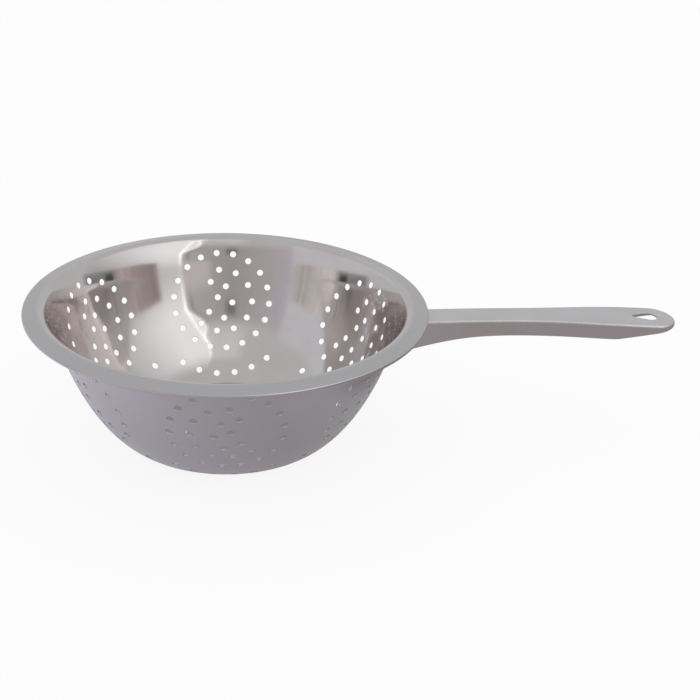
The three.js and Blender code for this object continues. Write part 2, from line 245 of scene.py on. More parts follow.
def hole_outlines(radius, corners):
    """Every hole's outline of that radius as lengths along the sheet and azimuths, a row for each hole. On
    the wall, the distance along the punch is halved towards the place where it meets the outside face."""
    circle = radius * around(even_turns(corners))
    drawn = rosette[:, None] + circle
    punch_frames = wall_frame(ROSETTE_AZIMUTHS, ROSETTE_HEIGHT)
    origin, sideways, climbing, inward = (part[:, None, None, :] for part in punch_frames)
    starts = origin + drawn[None, :, :, :1] * sideways + drawn[None, :, :, 1:] * climbing
    near = np.full(starts.shape[:-1], PUNCH_START)
    far = np.full(starts.shape[:-1], PUNCH_REACH)
    for _ in range(HALVINGS):
        middle = (near + far) / 2
        points = starts + middle[..., None] * inward
        outside = np.hypot(points[..., 0], points[..., 1]) > np.interp(points[..., 2], *path[wall].T[::-1])
        near = np.where(outside, middle, near)
        far = np.where(outside, far, middle)
    along = np.interp(points[..., 2], path[wall, 1], path_along[wall]).reshape(-1, corners)
    azimuth = np.arctan2(points[..., 1], points[..., 0]).reshape(-1, corners)
    flat = base_holes[:, None] + circle
    along = np.vstack([along, np.hypot(flat[..., 0], flat[..., 1])])
    return along, np.vstack([azimuth, np.arctan2(flat[..., 1], flat[..., 0])])


HOLE_CORNERS = 20
HOLE_SOFTENING = 0.15
GUARD_WIDTH = 0.75
bore = hole_outlines(HOLE_RADIUS, HOLE_CORNERS)
edge = hole_outlines(HOLE_RADIUS + HOLE_SOFTENING, HOLE_CORNERS)
guard = hole_outlines(HOLE_RADIUS + GUARD_WIDTH, HOLE_CORNERS)
centres = on_sheet(*(values[:, 0] for values in hole_outlines(0, 1)), BOWL_SHEET / 2)[0]
wall_centres = centres[: -len(base_holes)]
print("hole outlines:", edge[0].shape, " lowest on the wall, mm:", round(wall_centres[:, 2].min(), 1))

# %% [markdown]
# The sheet between the holes is unrolled to a flat disc: the length along the profile becomes the distance
# from the middle, and the azimuth stays. In that disc there is no seam and no pole, so a Delaunay
# triangulation can join rings of points with the holes' edges. The same triangles then serve both faces of
# the sheet, and each face gets its exact directions, because a mirror finish shows the smallest fault.

# %% Triangles between the holes
RING_STEP = 3.2
RIM_CORNERS = 240
CLEAR_OF_HOLES = 1.5
MERGE_DISTANCE = 1e-6


def unrolled(along, azimuth):
    """Flat position of a point of the sheet: its length along the profile, in its azimuth's direction."""
    return along[:, None] * around(azimuth)


def ring(along, corners):
    """A ring of evenly turned points at one length along the sheet."""
    return np.full(corners, along), even_turns(corners)


ring_alongs = np.linspace(0, mouth_end, int(mouth_end / RING_STEP) + 1)[:-1]
rings = [ring(along, max(1, int(2 * np.pi * along / RING_STEP))) for along in ring_alongs]
loose = np.concatenate(rings, axis=1)
loose_points, _ = on_sheet(*loose, BOWL_SHEET / 2)
hole_distance = np.linalg.norm(loose_points[:, None] - centres[None], axis=-1).min(axis=1)
loose = loose[:, hole_distance > HOLE_RADIUS + CLEAR_OF_HOLES]
rim_ring = np.array(ring(mouth_end, RIM_CORNERS))
edge_flat = np.array([values.ravel() for values in edge])
guard_flat = np.array([values.ravel() for values in guard])
sheet = np.concatenate([edge_flat, rim_ring, loose, guard_flat], axis=1)
edge_index = np.arange(edge_flat.shape[1]).reshape(-1, HOLE_CORNERS)
rim_index = edge_index.size + np.arange(RIM_CORNERS)
fixed_edges = np.vstack([
    np.stack([loop, np.roll(loop, -1, axis=-1)], axis=-1).reshape(-1, 2) for loop in (edge_index, rim_index)
])
flat_points = [Vector(point) for point in unrolled(*sheet)]
found = delaunay_2d_cdt(flat_points, fixed_edges.tolist(), [], 0, MERGE_DISTANCE, True)
found_points, _, found_faces, found_origins = found[:4]
origin_of = np.array([origins[0] for origins in found_origins])
triangles = origin_of[np.array(found_faces)]
# A triangle whose corners are all on the edge of one hole fills that hole, so it goes
point_numbers = np.arange(sheet.shape[1])
hole_of = np.where(point_numbers < edge_index.size, point_numbers // HOLE_CORNERS, -1)
corner_holes = hole_of[triangles]
in_hole = (corner_holes[:, 0] >= 0) & (np.ptp(corner_holes, axis=1) == 0)
triangles = triangles[~in_hole]
merged = sheet.shape[1] - len(found_points)
print("points:", sheet.shape[1], " merged:", merged, " triangles:", len(triangles))

# %% [markdown]
# The lip, the flange and the roll have no holes, so plain rings of quads carry on from the last ring of the
# wall. Each hole gets a short bore between the two faces, with softened edges, as a punched hole has after
# polishing. One small function then turns arrays of points, directions and faces into a Blender mesh.

# %% Mesh from arrays
def add_mesh(name, points, normals, faces, **attributes):
    """A smooth mesh object from arrays in millimetres, with the given direction at each point."""
    mesh = bpy.data.meshes.new(name)
    mesh.from_pydata((points * MM).tolist(), [], [face for group in faces for face in group.tolist()])
    mesh.polygons.foreach_set("use_smooth", np.ones(len(mesh.polygons), bool))
    for label, values in attributes.items():
        layer = mesh.attributes.new(label, "FLOAT", "POINT")
        layer.data.foreach_set("value", np.asarray(values, np.float32))
    mesh.normals_split_custom_set_from_vertices(unit(normals).tolist())
    made = bpy.data.objects.new(name, mesh)
    bpy.context.scene.collection.objects.link(made)
    triangle_count = sum(len(face.vertices) - 2 for face in mesh.polygons)
    print(name, "points:", len(points), " triangles:", triangle_count)
    return made


def bands(rows):
    """Quads between each row of point numbers and the next, with every row closed to a loop."""
    rows = np.asarray(rows)
    here, there = rows[..., :-1, :], rows[..., 1:, :]
    quads = np.stack([here, np.roll(here, -1, axis=-1), np.roll(there, -1, axis=-1), there], axis=-1)
    return quads.reshape(-1, 4)


# %% Bowl
LIP_STEPS = 12
FLANGE_STEPS = 5
BEAD_STEPS = 22
steps = [np.linspace(mouth_end, lip_end, LIP_STEPS + 1)[1:]]
steps.append(np.linspace(lip_end, flange_end, FLANGE_STEPS + 1)[1:])
steps.append(np.linspace(flange_end, sheet_end, BEAD_STEPS + 1)[1:])
outer_rings = np.array([ring(along, RIM_CORNERS) for along in np.concatenate(steps)])
everywhere = np.concatenate([sheet, outer_rings.transpose(1, 0, 2).reshape(2, -1)], axis=1)
ring_rows = sheet.shape[1] + np.arange(outer_rings.shape[0] * RIM_CORNERS).reshape(-1, RIM_CORNERS)
ring_rows = np.vstack([rim_index, ring_rows])
face_size = everywhere.shape[1]
outside_points, across = on_sheet(*everywhere, 0)
inside_points, _ = on_sheet(*everywhere, BOWL_SHEET)
bore_points = [on_sheet(*bore, depth)[0] for depth in (HOLE_SOFTENING, BOWL_SHEET - HOLE_SOFTENING)]
bore_normals = [unit(points.mean(axis=1, keepdims=True) - points) for points in bore_points]
bore_rows = 2 * face_size + np.arange(2 * edge_index.size).reshape(2, *edge_index.shape)
hole_rows = np.stack([edge_index, bore_rows[0], bore_rows[1], edge_index + face_size], axis=1)
cap_rows = np.array([ring_rows[-1], ring_rows[-1] + face_size])
# The inner attribute is 0 on the outside face, 1 on the inside face and a half in the bores
bowl_piece = add_mesh(
    "bowl_sheet",
    np.vstack([outside_points, inside_points, *(points.reshape(-1, 3) for points in bore_points)]),
    np.vstack([-across, across, *(normals.reshape(-1, 3) for normals in bore_normals)]),
    [
        triangles[:, ::-1],
        triangles + face_size,
        bands(ring_rows),
        bands(ring_rows)[:, ::-1] + face_size,
        bands(hole_rows)[:, ::-1],
        bands(cap_rows),
    ],
    along=np.concatenate([everywhere[0], everywhere[0], bore[0].ravel(), bore[0].ravel()]),
    inner=np.repeat([0, 1, 0.5], [face_size, face_size, 2 * edge_index.size]),
)
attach(bowl_piece, "root")
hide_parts("bowl")

# %% [markdown]
# The handle is one pressing: a flat, slightly arched top with rounded edges, two side walls that deepen
# towards the bowl, a round closed end and two ears that lie on the wall. It is drawn as one sheet with two
# parameters, the way along its outline and the way up its wall and over its top, for the near half only.
# The far half is its mirror image. The sheet gets its thickness at the end, from its own directions.

# %% Outline of the handle
HANDLE_SHEET = 1.2
HANDLE_DROP = 7.72
HANDLE_REACH = np.array(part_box("handle")[1])[0] / MM
ARCH_RISE = 1.22
ARCH_HALF_SPAN = 65
ARCH_FROM_RIM = 60
ROOT_HALF_WIDTH = 10.2
WAIST_HALF_WIDTH = 9.6
WAIST_FROM_RIM = 45
TIP_RADIUS = 14.2
EDGE_RADIUS = 2
GRIP_DEPTH = 10.3
ROOT_DEPTH = 24
FLARE_FROM_RIM = 62
TIP_DEPTH = 2.5
TAPER_START = 39
handle_top = RIM_HEIGHT - HANDLE_DROP
waist_x = RIM_RADIUS + WAIST_FROM_RIM
tip_x = HANDLE_REACH - TIP_RADIUS


def eased(first, last):
    """A Bezier curve that leaves one point and meets another lengthwise."""
    middle_x = (first[0] + last[0]) / 2
    return bezier([first, (middle_x, first[1]), (middle_x, last[1]), last], shares)


root_curve = eased((BASE_RADIUS, -ROOT_HALF_WIDTH), (waist_x, -WAIST_HALF_WIDTH))
grip_curve = eased((waist_x, -WAIST_HALF_WIDTH), (tip_x, -TIP_RADIUS))
tip_arc = arc(np.array([tip_x, 0]), TIP_RADIUS, -np.pi / 2, 0)
outline = np.vstack([root_curve, grip_curve[1:], tip_arc[1:]])
outline_along = lengths_along(outline)
outline_run = unit(np.gradient(outline, outline_along, axis=0))
outline_out = np.column_stack([outline_run[:, 1], -outline_run[:, 0]])
print("half outline of the handle, mm:", round(outline_along[-1], 1), " reach:", round(HANDLE_REACH, 1))


# %% Heights of the handle
def arch(x):
    """Height of the top face and its slope: a parabola that falls away on both sides of its crest."""
    share = (x - RIM_RADIUS - ARCH_FROM_RIM) / ARCH_HALF_SPAN
    return handle_top + ARCH_RISE * (1 - share**2), -2 * ARCH_RISE * share / ARCH_HALF_SPAN


def lower_edge(x):
    """Height of a side wall's lower edge: it follows the arch at the grip's depth, goes deeper at the root
    by the cube of the way from where the flare starts, and rises evenly to the tip."""
    flare_x = RIM_RADIUS + FLARE_FROM_RIM
    flare = np.clip((flare_x - x) / (flare_x - wall_top[0]), 0, 1) ** 3
    taper = np.clip((x - HANDLE_REACH) / TAPER_START + 1, 0, 1)
    return arch(x)[0] - GRIP_DEPTH - (ROOT_DEPTH - GRIP_DEPTH) * flare + (GRIP_DEPTH - TIP_DEPTH) * taper


stations = np.array([RIM_RADIUS, waist_x, tip_x])
wall_depths = arch(stations)[0] - lower_edge(stations)
print("wall's depth at the rim, the waist and the tip, mm:", np.round(wall_depths, 1))

# %% Columns of the handle's sheet: outline points and where each column ends on the top
HANG_RADIUS = 5.4
HANG_NARROW_RADIUS = 2.4
HANG_LENGTH = 8.4
HANG_FROM_TIP = 16.3
COLUMN_STEP = 3.5
TIP_COLUMNS = 26
hang_x = HANDLE_REACH - HANG_FROM_TIP
hang_start = hang_x - HANG_LENGTH - HANG_NARROW_RADIUS
swing = np.arccos((HANG_RADIUS - HANG_NARROW_RADIUS) / HANG_LENGTH)
narrow_centre = np.array([hang_x - HANG_LENGTH, 0])
narrow_arc = arc(narrow_centre, HANG_NARROW_RADIUS, np.pi, np.pi + swing)
wide_arc = arc(np.array([hang_x, 0]), HANG_RADIUS, swing - np.pi, 0)
hang = np.vstack([narrow_arc, wide_arc])
hang_along = lengths_along(hang)
root_x = np.interp(handle_top - EDGE_RADIUS, path[wall, 1], path[wall, 0]) + HANDLE_SHEET
straight_x = np.linspace(root_x, hang_start, int((hang_start - root_x) / COLUMN_STEP) + 1)
tip_start = np.interp(hang_start, outline[:, 0], outline_along)
column_along = np.concatenate([
    np.interp(straight_x, outline[:, 0], outline_along),
    np.linspace(tip_start, outline_along[-1], TIP_COLUMNS + 1)[1:],
])
column_point, column_out = (
    np.column_stack([np.interp(column_along, outline_along, column) for column in columns.T])
    for columns in (outline, outline_out)
)
# The last column lies on the handle's middle line, at the tip
column_out[-1] = (1, 0)
around_hole = np.linspace(0, hang_along[-1], TIP_COLUMNS + 1)[1:]
column_end = np.vstack([
    np.column_stack([straight_x, 0 * straight_x]),
    np.column_stack([np.interp(around_hole, hang_along, column) for column in hang.T]),
])
column_end[-1, 1] = 0
hang_end = hang_x + HANG_RADIUS
print("columns:", len(column_along), " hanging hole, mm:", round(hang_start, 1), "to", round(hang_end, 1))

# %% Rows of the handle's sheet: up the wall, round the edge and over the top
CLEARANCE = 0.3
EAR_BELOW_TOP = 2.9
EAR_HEIGHT = 14.5
EAR_HALF_SPAN = 16.5
EAR_CORNER = 3
EAR_BEND = 1.8
ROOT_SETTLES = 30
EDGE_STEPS = 6
TOP_STEPS = 8
EAR_ROWS = 8
FOOT_ROWS = 3
ear_top = handle_top - EAR_BELOW_TOP
ear_bottom = ear_top - EAR_HEIGHT
column_x = column_point[:, 0]
low = lower_edge(column_x)
shoulder = arch(column_x)[0] - EDGE_RADIUS
ear_shares = (np.linspace(ear_bottom, ear_top, EAR_ROWS) - low[0]) / (shoulder[0] - low[0])
foot_shares = np.linspace(0, ear_shares[0], FOOT_ROWS + 1)[:-1]
wall_shares = np.concatenate([foot_shares, ear_shares, [1]])
ear_rows = slice(FOOT_ROWS, FOOT_ROWS + EAR_ROWS)
wall_rows = slice(len(wall_shares))
top_rows = slice(len(wall_shares), None)
edge_angles = np.linspace(0, np.pi / 2, EDGE_STEPS + 1)[1:]
top_shares = np.linspace(0, 1, TOP_STEPS + 1)[1:]
round_edge = EDGE_RADIUS * (1 - np.cos(edge_angles))
drawn_in = np.concatenate([0 * wall_shares, round_edge, 0 * top_shares + EDGE_RADIUS])
across_top = np.concatenate([0 * wall_shares, 0 * edge_angles, top_shares])
tilt = np.concatenate([0 * wall_shares, edge_angles, 0 * top_shares + np.pi / 2])
plan = column_point[None] - drawn_in[:, None, None] * column_out[None]
plan = plan + across_top[:, None, None] * (column_end[None] - plan)
fall = EDGE_RADIUS * (1 - np.sin(tilt[top_rows]))
row_height = np.vstack([
    low[None] + wall_shares[:, None] * (shoulder - low)[None],
    arch(plan[top_rows, :, 0])[0] - fall[:, None],
])
print("rows:", len(tilt), " columns:", plan.shape[1])


# %% The root, fitted to the wall of the bowl
def wall_radius(height, distance):
    """Radius, at a height, of the surface that is a distance outside the bowl's wall."""
    moved = path[wall] - distance * path_across[wall]
    return np.interp(height, moved[:, 1], moved[:, 0])


half_root = -np.interp(root_x, outline[:, 0], outline[:, 1])
root_start = np.sqrt(wall_radius(row_height[:, 0], CLEARANCE) ** 2 - plan[:, 0, 1] ** 2)
bend_radius = wall_radius(row_height[ear_rows, 0], CLEARANCE + HANDLE_SHEET) + EAR_BEND
bend_x = np.sqrt(bend_radius**2 - (half_root + EAR_BEND) ** 2)
root_start[ear_rows] = bend_x
settle = np.clip((column_x - root_x) / ROOT_SETTLES, 0, 1)
plan[:, :, 0] += (root_start - plan[:, 0, 0])[:, None] * ((1 - settle) ** 2)[None]
on_outline = np.interp(plan[wall_rows, :, 0], *outline.T)
plan[wall_rows, :, 1] = np.where(column_x < hang_start, on_outline, plan[wall_rows, :, 1])
plan[ear_rows, 0, 1] = -half_root
row_height[top_rows] = arch(plan[top_rows, :, 0])[0] - fall[:, None]
skin = np.concatenate([plan, row_height[..., None]], axis=-1)
slope = arch(plan[..., 0])[1]
up_normal = unit(np.stack([-slope, 0 * slope, 1 + 0 * slope], axis=-1))
out_normal = np.concatenate([np.broadcast_to(column_out, plan.shape), 0 * row_height[..., None]], axis=-1)
skin_normal = np.cos(tilt)[:, None, None] * out_normal + np.sin(tilt)[:, None, None] * up_normal
print("root of the top face at, mm:", np.round(skin[-1, 0], 2))

# %% The ears
CORNER_STEPS = 5
BEND_STEPS = 6
row_share = np.linspace(0, 1, EAR_ROWS)[:, None]
ear_radius = (bend_radius - EAR_BEND)[:, None]
bend_centre = np.stack([bend_x, 0 * bend_x - half_root - EAR_BEND], axis=-1)[:, None]
touch_y = bend_centre[..., 1] * ear_radius / bend_radius[:, None]
inset_turn = np.linspace(0, np.pi / 2, CORNER_STEPS + 1)
past_end = EAR_CORNER * (1 - np.cos(inset_turn))
shortened = np.concatenate([EAR_CORNER * (1 - np.sin(inset_turn)), [0]])
ear_y = np.concatenate([
    np.broadcast_to(past_end - EAR_HALF_SPAN, (EAR_ROWS, CORNER_STEPS + 1)), touch_y
], axis=1)
ear_z = ear_bottom + shortened + row_share * (EAR_HEIGHT - 2 * shortened)
ear_reach = wall_radius(ear_z, CLEARANCE + HANDLE_SHEET)
ear = np.stack([np.sqrt(ear_reach**2 - ear_y**2), ear_y, ear_z], axis=-1)
bend_first = np.arctan2(-bend_centre[..., 1], -bend_centre[..., 0])
bend_turn = bend_first + np.linspace(0, 1, BEND_STEPS + 1)[None, 1:] * (np.pi / 2 - bend_first)
bend_way = around(bend_turn)
bend_z = np.broadcast_to(ear_z[:, -1:], bend_turn.shape)[..., None]
bend = np.concatenate([bend_centre + EAR_BEND * bend_way, bend_z], axis=-1)
bend[:, -1] = skin[ear_rows, 0]
flank = np.concatenate([ear, bend], axis=1)
ear_way = around(np.arctan2(ear[..., 1], ear[..., 0]))
out, rise = (np.interp(flank[..., 2], path[wall, 1], column[wall]) for column in path_across.T)
fading = np.concatenate([np.ones(ear.shape[1]), np.linspace(1, 0, BEND_STEPS + 1)[1:]])
flank_way = np.concatenate([ear_way, -bend_way], axis=1)
flank_normal = unit(np.concatenate([flank_way, (fading * rise / out)[..., None]], axis=-1))
print("ear reaches sideways to, mm:", round(np.abs(flank[..., 1]).max(), 1))

# %% [markdown]
# A pressed sheet has a cut edge, softened where the burr was taken off. So the half sheets are joined along
# the middle, the edges that belong to only one face are found, and a small rounded strip closes them
# between the outer and the inner face. Solidify would leave those edges sharp.

# %% A thick sheet from its outer face
CUT_EDGE_FULLNESS = 1.2
CUT_EDGE_TURNS = np.array([1, 2, 3]) * np.pi / 4


def grid_faces(rows, columns, first):
    """Quads of a grid of points, numbered from first, row by row."""
    number = first + np.arange(rows * columns).reshape(rows, columns)
    here, there = number[:-1], number[1:]
    quads = np.stack([here[:, :-1], here[:, 1:], there[:, 1:], there[:, :-1]], axis=-1)
    return quads.reshape(-1, 4)


def joined(points, normals, faces, places=5):
    """Points that lie together become one, with the mean of their directions."""
    _, first, number = np.unique(np.round(points, places), axis=0, return_index=True, return_inverse=True)
    total = np.zeros((len(first), 3))
    np.add.at(total, number.ravel(), normals)
    return points[first], unit(total), number.ravel()[faces]


def thick_sheet(points, normals, faces, thickness, roundness):
    """The outer face, the same face moved inwards by the thickness, and a rounded strip round every free
    edge. A free edge is one that only one face runs along. The strip bulges away from that face."""
    sides = np.stack([faces, np.roll(faces, -1, axis=1)], axis=-1).reshape(-1, 2)
    keys = np.sort(sides, axis=1)
    _, number, uses = np.unique(keys, axis=0, return_inverse=True, return_counts=True)
    free = sides[uses[number.ravel()] == 1]
    rim, rim_number = np.unique(free, return_inverse=True)
    rim_number = rim_number.reshape(-1, 2)
    run = unit(points[free[:, 1]] - points[free[:, 0]])
    away = np.zeros((len(rim), 3))
    for end in (0, 1):
        np.add.at(away, rim_number[:, end], np.cross(run, normals[free[:, end]]))
    away = unit(away)
    inner = points - thickness * normals
    middle = (points[rim] + inner[rim]) / 2
    strip_points = []
    strip_normals = []
    for turned in CUT_EDGE_TURNS:
        side = np.cos(turned) * thickness / 2 * normals[rim]
        strip_points.append(middle + CUT_EDGE_FULLNESS * side + np.sin(turned) * roundness * away)
        strip_normals.append(np.cos(turned) * normals[rim] + np.sin(turned) * away)
    count = len(points)
    strip_rows = 2 * count + np.arange(len(CUT_EDGE_TURNS) * len(rim)).reshape(-1, len(rim))
    rows = [rim, *strip_rows, rim + count]
    first, last = rim_number.T
    strips = [
        np.stack([here[last], here[first], there[first], there[last]], axis=-1)
        for here, there in zip(rows[:-1], rows[1:])
    ]
    all_points = np.vstack([points, inner, *strip_points])
    all_normals = np.vstack([normals, -normals, *strip_normals])
    return all_points, all_normals, [faces, faces[:, ::-1] + count, *strips]


# %% Handle
CUT_EDGE_BULGE = 0.25
MIRROR = np.array([1, -1, 1])
skin_faces = grid_faces(*skin.shape[:2], 0)
flank_faces = grid_faces(*flank.shape[:2], skin.size // 3)
half_points = np.vstack([skin.reshape(-1, 3), flank.reshape(-1, 3)])
half_normals = np.vstack([skin_normal.reshape(-1, 3), flank_normal.reshape(-1, 3)])
half_faces = np.vstack([skin_faces, flank_faces])
whole = joined(
    np.vstack([half_points, half_points * MIRROR]),
    np.vstack([half_normals, half_normals * MIRROR]),
    np.vstack([half_faces, half_faces[:, ::-1] + len(half_points)]),
)
handle_piece = add_mesh("handle_channel", *thick_sheet(*whole, HANDLE_SHEET, CUT_EDGE_BULGE))
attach(handle_piece, "root")
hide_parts("handle")

# %% [markdown]
# Two spot welds hold the ears to the wall. A spot weld shows as a shallow dimple with a raised ring on the
# ear, and as a faint round mark inside the bowl. Each is a small turned body through both sheets, set
# square to the wall: its profile is a row of radii and heights, turned about the weld's own axis.

# %% Spot welds
WELD_RADIUS = 2.1
WELD_OFFSET = 13.2
WELD_CORNERS = 40
WELD_RING = 0.14
WELD_DISH = 0.05
WELD_MARK = 0.05
weld_height = ear_top - EAR_HEIGHT / 2
ear_face = -CLEARANCE - HANDLE_SHEET
# Radius as a share of the weld's, and depth into the bowl from the outside of its wall
weld_profile = np.array([
    (0.02, ear_face - WELD_DISH * 0.2),
    (0.45, ear_face - WELD_DISH * 0.4),
    (0.70, ear_face - WELD_RING * 0.8),
    (0.82, ear_face - WELD_RING),
    (0.94, ear_face - WELD_RING * 0.6),
    (1.00, ear_face + WELD_RING),
    (0.90, BOWL_SHEET - WELD_MARK),
    (0.80, BOWL_SHEET + WELD_MARK * 0.7),
    (0.62, BOWL_SHEET + WELD_MARK),
    (0.30, BOWL_SHEET + WELD_MARK * 0.6),
    (0.02, BOWL_SHEET + WELD_MARK * 0.5),
])


def weld_body(side):
    """The weld's profile turned about the line that is square to the wall at the weld's place."""
    radius = np.interp(weld_height, path[wall, 1], path[wall, 0])
    origin, sideways, climbing, inward = wall_frame(side * np.arcsin(WELD_OFFSET / radius), weld_height)
    angle = even_turns(WELD_CORNERS)
    way = np.cos(angle)[:, None] * sideways + np.sin(angle)[:, None] * climbing
    run = np.gradient(weld_profile * (WELD_RADIUS, 1), axis=0)
    points = origin + weld_profile[:, :1, None] * WELD_RADIUS * way + weld_profile[:, 1:, None] * inward
    normals = run[:, 1:, None] * way - run[:, :1, None] * inward
    rows = np.arange(points.size // 3).reshape(points.shape[:2])
    return points.reshape(-1, 3), normals.reshape(-1, 3), [bands(rows), rows[:1, ::-1], rows[-1:]]


weld_pieces = []
for node, side in (("weld_left", 1), ("weld_right", -1)):
    piece = add_mesh(node + "_nugget", *weld_body(side))
    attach(piece, "root")
    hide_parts(node)
    weld_pieces.append(piece)

# %% [markdown]
# Materials are written as sums. One small class stands for a socket, so that an expression such as
# 0.3 + 0.1 * streaks adds the Math nodes that it needs, and one method of it adds any other node.


# %% Sockets that can be calculated with
class Wire:
    """An output socket of a node tree. Arithmetic on wires and numbers adds Math nodes to the tree."""

    def __init__(self, tree, socket=None):
        self.tree = tree
        self.socket = socket

    def node(self, kind, settings=None, inputs=None, output=0):
        """Adds a node of that type. Its settings come first, then values or wires for its sockets."""
        made = self.tree.nodes.new(kind)
        for name, value in (settings or {}).items():
            if name == "stops":
                for _ in value[2:]:
                    made.color_ramp.elements.new(0.5)
                for stop, (place, colour) in zip(made.color_ramp.elements, value):
                    stop.position = place
                    stop.color = (*colour, 1)
            else:
                setattr(made, name, value)
        for name, value in (inputs or {}).items():
            if isinstance(value, Wire):
                self.tree.links.new(value.socket, made.inputs[name])
            else:
                made.inputs[name].default_value = value
        return Wire(self.tree, made.outputs[output] if made.outputs else None)

    def math(self, operation, first, second=0.0):
        """A Math node of two values."""
        return self.node("ShaderNodeMath", {"operation": operation}, {0: first, 1: second})

    def __add__(self, other):
        return self.math("ADD", self, other)

    def __sub__(self, other):
        return self.math("SUBTRACT", self, other)

    def __rsub__(self, other):
        return self.math("SUBTRACT", other, self)

    def __mul__(self, other):
        return self.math("MULTIPLY", self, other)

    def __truediv__(self, other):
        return self.math("DIVIDE", self, other)

    def __rtruediv__(self, other):
        return self.math("DIVIDE", other, self)

    __radd__ = __add__
    __rmul__ = __mul__

    def step(self, low, high):
        """0 below low, 1 above high and a smooth rise between them."""
        settings = {"interpolation_type": "SMOOTHSTEP"}
        return self.node("ShaderNodeMapRange", settings, {"Value": self, "From Min": low, "From Max": high})

    def mix(self, first, second):
        """A colour between two others, by this wire."""
        return self.node("ShaderNodeMix", {"data_type": "RGBA"}, {0: self, 6: first, 7: second}, 2)


def tree_of(owner):
    """An empty node tree of a material or a world."""
    owner.use_nodes = True
    owner.node_tree.nodes.clear()
    return Wire(owner.node_tree)


def parts_of(wire):
    """The three numbers of a vector."""
    return [wire.node("ShaderNodeSeparateXYZ", None, {0: wire}, i) for i in range(3)]


def vector(x, y, z):
    """A vector of three wires or numbers, of which the first is a wire."""
    return x.node("ShaderNodeCombineXYZ", None, {0: x, 1: y, 2: z})


def noise(place, scale, detail=2.0, roughness=0.5):
    """Soft noise from 0 to 1 at a place, with so many bumps to a unit."""
    inputs = {"Vector": place, "Scale": scale, "Detail": detail, "Roughness": roughness}
    return place.node("ShaderNodeTexNoise", None, inputs)


def new_steel(name):
    """A new material, the place on its piece, and the three numbers of that place."""
    material = bpy.data.materials.new(name)
    place = tree_of(material).node("ShaderNodeTexCoord", output="Object")
    return material, place, *parts_of(place)


def steel(colour, roughness, height, bump_distance):
    """Ends a steel material: a full metal with its colour, roughness and a fine relief."""
    bump = {"Distance": bump_distance, "Strength": 1.0, "Height": height}
    relief = colour.node("ShaderNodeBump", None, bump)
    inputs = {"Base Color": colour, "Metallic": 1.0, "Roughness": roughness, "Normal": relief}
    surface = colour.node("ShaderNodeBsdfPrincipled", None, inputs)
    colour.node("ShaderNodeOutputMaterial", None, {"Surface": surface})


def count_nodes(owner):
    """Prints how many nodes a material or a world has so far."""
    print(owner.name, "nodes:", len(owner.node_tree.nodes))


# %% [markdown]
# The bowl was polished inside after it was drawn. So the wall keeps faint streaks that run up it, and the
# flange has fine turned lines round it. The base is a little duller. Streaks come from stretched noise: the
# direction from the axis times a large number gives many bumps round the bowl, and the length along the
# sheet times a small one gives few up the wall. The other way about gives turned lines.

# %% Places and patterns on the bowl
STREAKS_ROUND = 70
STREAKS_UP = 0.03
LINES_ROUND = 2
LINES_ACROSS = 6
SMEAR_SCALE = 45
WAVE_SCALE = 28
AXIS_GUARD = 1e-8
bowl_steel, place, x, y, _ = new_steel("bowl_polished_steel")
from_axis = place.math("SQRT", x * x + y * y + AXIS_GUARD)
along = place.node("ShaderNodeAttribute", {"attribute_name": "along"}, output="Fac")
inner = place.node("ShaderNodeAttribute", {"attribute_name": "inner"}, output="Fac")
on_flange = along.step(lip_end - 1.5, lip_end + 0.5)
on_inside = inner.step(0.4, 0.6)
on_base = 1 - along.step(base_end - 5, base_end + 2)
round_x, round_y = x / from_axis, y / from_axis
streak_place = vector(round_x * STREAKS_ROUND, round_y * STREAKS_ROUND, along * STREAKS_UP)
line_place = vector(round_x * LINES_ROUND, round_y * LINES_ROUND, along * LINES_ACROSS)
up_streaks = noise(streak_place, 1.0, 3.0, 0.6)
turned_lines = noise(line_place, 1.0, 3.0, 0.6)
smears = noise(place, SMEAR_SCALE, 3.0)
wavy = noise(place, WAVE_SCALE, 1.0)
count_nodes(bowl_steel)

# %% Steel of the bowl
STEEL = (0.655, 0.605, 0.595, 1)
STEEL_WARM = (0.63, 0.575, 0.555, 1)
STEEL_BASE = (0.525, 0.503, 0.53, 1)
STEEL_OUTSIDE = (0.57, 0.55, 0.57, 1)
STEEL_FLANGE = (0.555, 0.522, 0.53, 1)
INSIDE_ROUGH = 0.05
OUTSIDE_ROUGH = 0.20
FLANGE_ROUGH = 0.22
BASE_DULLER = 0.08
STREAK_RELIEF = 0.5
LINE_RELIEF = 0.35
BOWL_RELIEF = 0.00002
polished_colour = smears.step(0.35, 0.75).mix(STEEL, STEEL_WARM)
inside_colour = on_base.mix(polished_colour, STEEL_BASE)
wall_colour = on_inside.mix(STEEL_OUTSIDE, inside_colour)
bowl_colour = on_flange.mix(wall_colour, STEEL_FLANGE)
inside_rough = INSIDE_ROUGH + 0.05 * up_streaks + 0.03 * smears + BASE_DULLER * on_base
outside_rough = OUTSIDE_ROUGH + 0.06 * up_streaks + 0.04 * smears
flange_rough = FLANGE_ROUGH + 0.10 * turned_lines
wall_rough = outside_rough + on_inside * (inside_rough - outside_rough)
bowl_rough = wall_rough + on_flange * (flange_rough - wall_rough)
wall_relief = (1 - on_flange) * (up_streaks * STREAK_RELIEF + wavy)
steel(bowl_colour, bowl_rough, wall_relief + on_flange * turned_lines * LINE_RELIEF, BOWL_RELIEF)
bowl_piece.data.materials.append(bowl_steel)
count_nodes(bowl_steel)

# %% [markdown]
# The handle was brushed lengthwise. Its lines are noise that is short across the handle and long along it.
# Hands leave broad, soft patches on it, in which the steel is a little warmer and less smooth.

